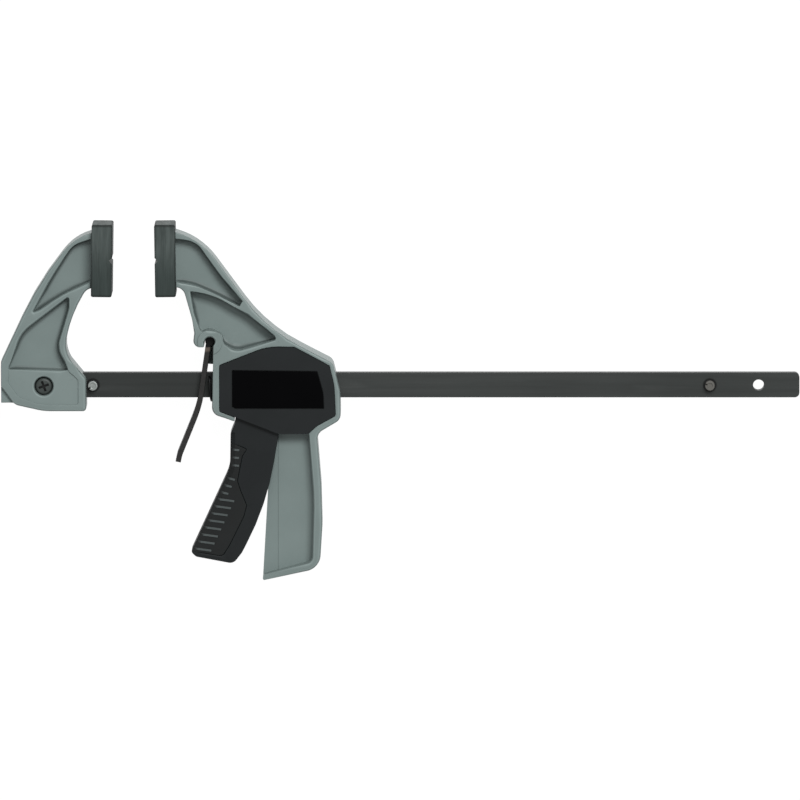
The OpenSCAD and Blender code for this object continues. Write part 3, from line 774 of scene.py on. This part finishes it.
def keep_level_sheet(shape, side, height, reach=math.inf):
    """Keeps only the faces at a height that face up (side 1) or down (side -1)."""
    shape.normal_update()
    others = []
    for face in shape.faces:
        middle = face.calc_center_median()
        wrong = face.normal.z * side < LEVEL or abs(middle.z - height) > LEVEL_SLACK
        if wrong or middle.y > reach:
            others.append(face)
    bmesh.ops.delete(shape, geom=others, context="FACES")


def thicken(shape, depth):
    """Makes a slab of a level sheet, and returns the edges of its new side."""
    grown = bmesh.ops.extrude_face_region(shape, geom=shape.faces[:])["geom"]
    moved = [item for item in grown if isinstance(item, bmesh.types.BMVert)]
    bmesh.ops.translate(shape, verts=moved, vec=(0, 0, depth))
    bmesh.ops.recalc_face_normals(shape, faces=shape.faces)
    return [item for item in grown if isinstance(item, bmesh.types.BMEdge)]


def unite(shape, other):
    """Adds one solid to another, so that both are one closed shell, and frees the other."""
    holders = []
    for part in (shape, other):
        data = bpy.data.meshes.new("part")
        part.to_mesh(data)
        holders.append(bpy.data.objects.new("part", data))
        bpy.context.scene.collection.objects.link(holders[-1])
    union = holders[0].modifiers.new("union", "BOOLEAN")
    union.operation, union.solver, union.object = "UNION", "EXACT", holders[1]
    joined = holders[0].evaluated_get(bpy.context.evaluated_depsgraph_get())
    shape.clear()
    shape.from_mesh(joined.to_mesh())
    for holder in holders:
        data = holder.data
        bpy.data.objects.remove(holder)
        bpy.data.meshes.remove(data)
    other.free()


def fill_foot_slots(shape):
    """Fills the thin slots that the step of the handle's web cuts into its foot."""
    for side in (1, -1):
        filler = shape.copy()
        keep_level_sheet(filler, -side, MIDDLE_HEIGHT + side * SLOT_TOP, SLOT_REACH)
        thicken(filler, -side * SLOT_HEIGHT)
        unite(shape, filler)
    bmesh.ops.remove_doubles(shape, verts=shape.verts, dist=WELD)
    shape.normal_update()


def fill_pin_bore(shape):
    """Closes a rolled pin's bore a little below its two ends, where its inner turn shows."""
    low, high = (
        Vector([pick(vert.co[axis] for vert in shape.verts) for axis in range(3)])
        for pick in (min, max)
    )
    core = bmesh.new()
    bmesh.ops.create_cone(
        core, cap_ends=True, segments=CORE_SIDES, radius1=CORE_RADIUS, radius2=CORE_RADIUS,
        depth=high.z - low.z - 2 * CORE_DEPTH, matrix=Matrix.Translation((low + high) / 2),
    )
    unite(shape, core)


def close_up_trigger(shape):
    """Brings the trigger's upper front up to the end of the housing's lower rim."""
    for vert in shape.verts:
        if vert.co.x < NOTCH_RIGHT and NOTCH_FOOT < vert.co.y < NOTCH_TOP:
            vert.co.x -= NOTCH_WIDTH


def add_piece(name, shape, material, node):
    """Makes a mesh object from a bmesh, which rides on the body of a CAD node."""
    data = bpy.data.meshes.new(name)
    shape.to_mesh(data)
    shape.free()
    data.materials.append(material)
    piece = bpy.data.objects.new(name, data)
    bpy.context.scene.collection.objects.link(piece)
    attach(piece, nodes[node]["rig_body"])
    return piece


def dress(name, material, edges, turn=Matrix(), change=None, raised=None):
    """A finished copy of a CAD node, with soft edges, that stands for the node."""
    shape = node_shape(name)
    if change:
        change(shape)
    soften(shape, name, edges, turn)
    # Faces farther than raised from the middle plane, the grip's ribs, get the full painted
    # highlight
    if raised:
        edge_light = shape.verts.layers.float[EDGE_ATTRIBUTE]
        for vert in shape.verts:
            if abs(vert.co.z - MIDDLE_HEIGHT) > raised:
                vert[edge_light] = 1
    piece = add_piece(name + "_finished", shape, material, name)
    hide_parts(name)
    flatten = piece.modifiers.new("flat faces stay flat", "WEIGHTED_NORMAL")
    flatten.keep_sharp = True


def wind_spring(name, turns, first, material):
    """A round wire wound between the ends of a CAD spring, which a joint presses together."""
    low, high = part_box(name)
    middle = middle_of(name)
    steps = round(turns * COIL_STEPS)
    start = Vector((low.x + WIRE_RADIUS, middle.y + COIL_RADIUS, middle.z))
    shape = bmesh.new()
    ring = bmesh.ops.create_circle(
        shape, segments=WIRE_SIDES, radius=WIRE_RADIUS, matrix=Matrix.Translation(start),
    )
    bmesh.ops.spin(
        shape, geom=ring["verts"] + shape.edges[:], cent=middle, axis=(1, 0, 0),
        dvec=((high.x - low.x - 2 * WIRE_RADIUS) / steps, 0, 0), angle=math.tau * turns,
        steps=steps, use_merge=False, use_duplicate=False,
    )
    turn = Matrix.Rotation(first, 3, "X")
    bmesh.ops.rotate(shape, cent=middle, matrix=turn, verts=shape.verts)
    ends = [edge for edge in shape.edges if edge.is_boundary]
    bmesh.ops.holes_fill(shape, edges=ends, sides=0)
    bmesh.ops.recalc_face_normals(shape, faces=shape.faces)
    for face in shape.faces:
        face.smooth = len(face.verts) == 4
    wire = add_piece(name + "_wire", shape, material, name)
    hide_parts(name)
    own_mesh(wire)


def lay_label_plate(cover, side, material):
    """The bare glossy plate in the recess of a cover, made from the recess's floor."""
    low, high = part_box(cover)
    shape = node_shape(cover)
    keep_level_sheet(shape, side, high.z - LABEL_DEPTH if side > 0 else low.z + LABEL_DEPTH)
    bmesh.ops.dissolve_faces(shape, faces=shape.faces[:])
    rim = bmesh.ops.inset_region(
        shape, faces=shape.faces[:], thickness=PLATE_GAP, use_even_offset=True,
        use_boundary=True,
    )
    bmesh.ops.delete(shape, geom=rim["faces"], context="FACES")
    bmesh.ops.bevel(
        shape, geom=thicken(shape, side * PLATE_HEIGHT), offset=PLATE_BEVEL,
        offset_type="OFFSET", affect="EDGES", segments=2, profile=0.5, material=-1,
        clamp_overlap=True,
    )
    add_piece(cover + "_label_plate", shape, material, cover)


def place_camera():
    back = Vector((0, math.sin(VIEW_LEAN), math.cos(VIEW_LEAN)))
    up = Vector((0, math.cos(VIEW_LEAN), -math.sin(VIEW_LEAN)))
    data = bpy.data.cameras.new("camera")
    data.sensor_width = SENSOR
    data.lens = SENSOR * VIEW_DISTANCE / VIEW_WIDTH
    data.clip_start, data.clip_end = VIEW_NEAR, VIEW_FAR
    camera = bpy.data.objects.new("camera", data)
    bpy.context.scene.collection.objects.link(camera)
    turn = Matrix((up.cross(back), up, back)).transposed().to_4x4()
    camera.matrix_world = Matrix.Translation(VIEW_TARGET + back * VIEW_DISTANCE) @ turn
    bpy.context.scene.camera = camera


def make_world():
    """Soft light from all round, and a white background for the rays that show it."""
    world = Finish("studio", bpy.data.worlds)
    level = world.node("ShaderNodeMapRange", None, {"Value": world.shown(), "To Min": WORLD_LIGHT})
    background = world.node("ShaderNodeBackground", None, {"Strength": level})
    world.node("ShaderNodeOutputWorld", None, {"Surface": background})
    bpy.context.scene.world = world.owner


def hang_lamp():
    """One soft window, to the upper right of the photograph's view."""
    lamp = bpy.data.lights.new("window", "AREA")
    lamp.shape = "RECTANGLE"
    lamp.energy, lamp.size, lamp.size_y = LAMP_POWER, LAMP_WIDTH, LAMP_HEIGHT
    holder = bpy.data.objects.new("window", lamp)
    aim = LAMP_PLACE.to_track_quat("Z", "Y").to_matrix().to_4x4()
    holder.matrix_world = Matrix.Translation(LAMP_PLACE) @ aim
    bpy.context.scene.collection.objects.link(holder)


def lay_floor():
    """White paper that shows only a faint shadow."""
    place = Matrix.Translation((0, 0, FLOOR_DROP))
    shape = bmesh.new()
    bmesh.ops.create_grid(shape, x_segments=1, y_segments=1, size=FLOOR_REACH, matrix=place)
    mesh = bpy.data.meshes.new("floor")
    shape.to_mesh(mesh)
    shape.free()
    floor = bpy.data.objects.new("floor", mesh)
    bpy.context.scene.collection.objects.link(floor)
    paper = Finish("paper")
    white = (1, 1, 1, 1)
    plain = paper.node("ShaderNodeBsdfDiffuse", None, {"Color": white})
    glow = paper.node("ShaderNodeEmission", None, {"Color": white, "Strength": PAPER_GLOW})
    inputs = {0: paper.shown() * PAPER_SHOWN, 1: plain, 2: glow}
    mixed = paper.node("ShaderNodeMixShader", None, inputs)
    paper.node("ShaderNodeOutputMaterial", None, {"Surface": mixed})
    mesh.materials.append(paper.owner)


place_camera()
make_world()
hang_lamp()
lay_floor()

grey = moulded("grey_moulded_plastic", (118, 131, 129), (123, 136, 134), 0.38, 0.3)
black = moulded("black_moulded_plastic", (27, 30, 31), (31, 34, 35), 0.42, 0.15, 1.6, 0.4)
rubber = moulded("soft_grip", (26, 28, 28), (32, 34, 34), 0.55, 0.15, 3.0, 0.4)
label_black = moulded(
    "glossy_black_plate", (3, 3, 4), (4, 4, 5), 0.14, 0.03, grain=500, depth=0.004 * MM,
)
pad_soft = pad_rubber()
bar_steel = rolled_bar()
lever_steel = lever_strip()
screw_black = oiled_screw()
dark = plain_steel("dark_steel", (38, 39, 39), (58, 58, 57), 0.6, 0.2)
worn = plain_steel("worn_steel", (74, 74, 71), (112, 110, 105), 0.6, 0.2)
bright = plain_steel("bright_steel", (124, 129, 127), (162, 167, 164), 0.38, 0.9)
spring_steel = plain_steel("dark_spring_wire", (20, 21, 22), (32, 33, 34), 0.4, 0.6)

sideways = Matrix.Rotation(math.radians(-90), 4, "Y")
dress("fixed_jaw", grey, MOULDED_EDGES)
dress("jaw_body", grey, MOULDED_EDGES, change=fill_foot_slots)
dress("fixed_pad", pad_soft, PAD_EDGES, sideways)
dress("moving_pad", pad_soft, PAD_EDGES, sideways)
dress("front_cover", black, COVER_EDGES)
dress("rear_cover", black, COVER_EDGES)
dress("trigger", black, TRIGGER_EDGES, change=close_up_trigger)
dress("trigger_grip", rubber, GRIP_EDGES, raised=GRIP_FACE)
dress("bar", bar_steel, STEEL_EDGES)
dress("brake_lever", lever_steel, STEEL_EDGES)
dress("fixed_jaw_screw", screw_black, NO_EDGES)
dress("front_stop_pin", bright, STEEL_EDGES, change=fill_pin_bore)
dress("rear_stop_pin", worn, STEEL_EDGES, change=fill_pin_bore)
wind_spring("drive_spring", DRIVE_TURNS, DRIVE_START, spring_steel)
wind_spring("brake_spring", BRAKE_TURNS, BRAKE_START, spring_steel)
lay_label_plate("front_cover", 1, label_black)
lay_label_plate("rear_cover", -1, label_black)

# These CAD nodes are shown as they are
plain_nodes = {
    "fixed_jaw_nut": dark, "trigger_pin": bright,
    "drive_plate_1": dark, "drive_plate_2": dark, "drive_plate_3": dark,
}
for name, material in plain_nodes.items():
    nodes[name].data.materials.clear()
    nodes[name].data.materials.append(material)

bpy.context.scene.view_settings.view_transform = "Standard"
